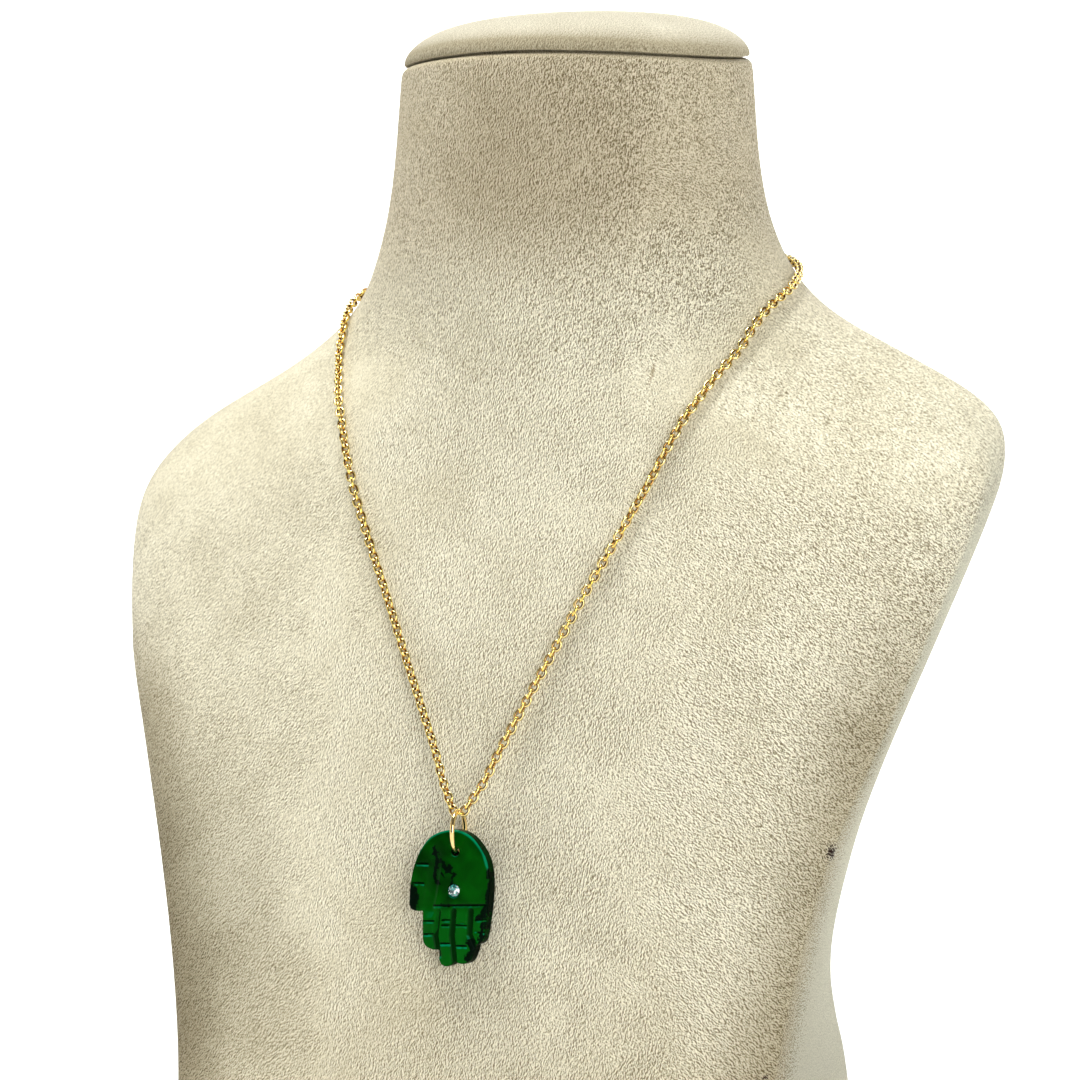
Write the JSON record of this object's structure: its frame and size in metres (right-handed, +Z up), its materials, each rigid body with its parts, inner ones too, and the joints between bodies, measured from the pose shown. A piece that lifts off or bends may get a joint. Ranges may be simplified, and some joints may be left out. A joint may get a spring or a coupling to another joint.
{
  "type": "hamsa pendant necklace on a neck bust",
  "caption": "Green stone hand pendant on a gold jump ring and a fine cable chain, worn on a plain suede-covered neck bust with a flat base.",
  "frame": {"origin": "on the neck's axis at the height of the flat base", "axes": "+Z up along the neck, the bust's chest faces -Y, +X is the wearer's left shoulder"},
  "size_m": [0.211, 0.129, 0.2724],
  "materials": {
    "suede": "napped suede cloth",
    "cap_suede": "napped suede cloth",
    "chain_gold": "polished gold",
    "clasp_gold": "polished gold",
    "ring_gold": "polished gold",
    "green_stone": "polished veined green stone",
    "cut_stone": "cut and polished"
  },
  "bodies": {
    "root": {"bust_form": "suede", "neck_cap": "cap_suede", "chain": "chain_gold", "clasp": "clasp_gold", "jump_ring": "ring_gold", "hamsa_hand": "green_stone", "palm_stone": "cut_stone"}
  },
  "joints": []
}
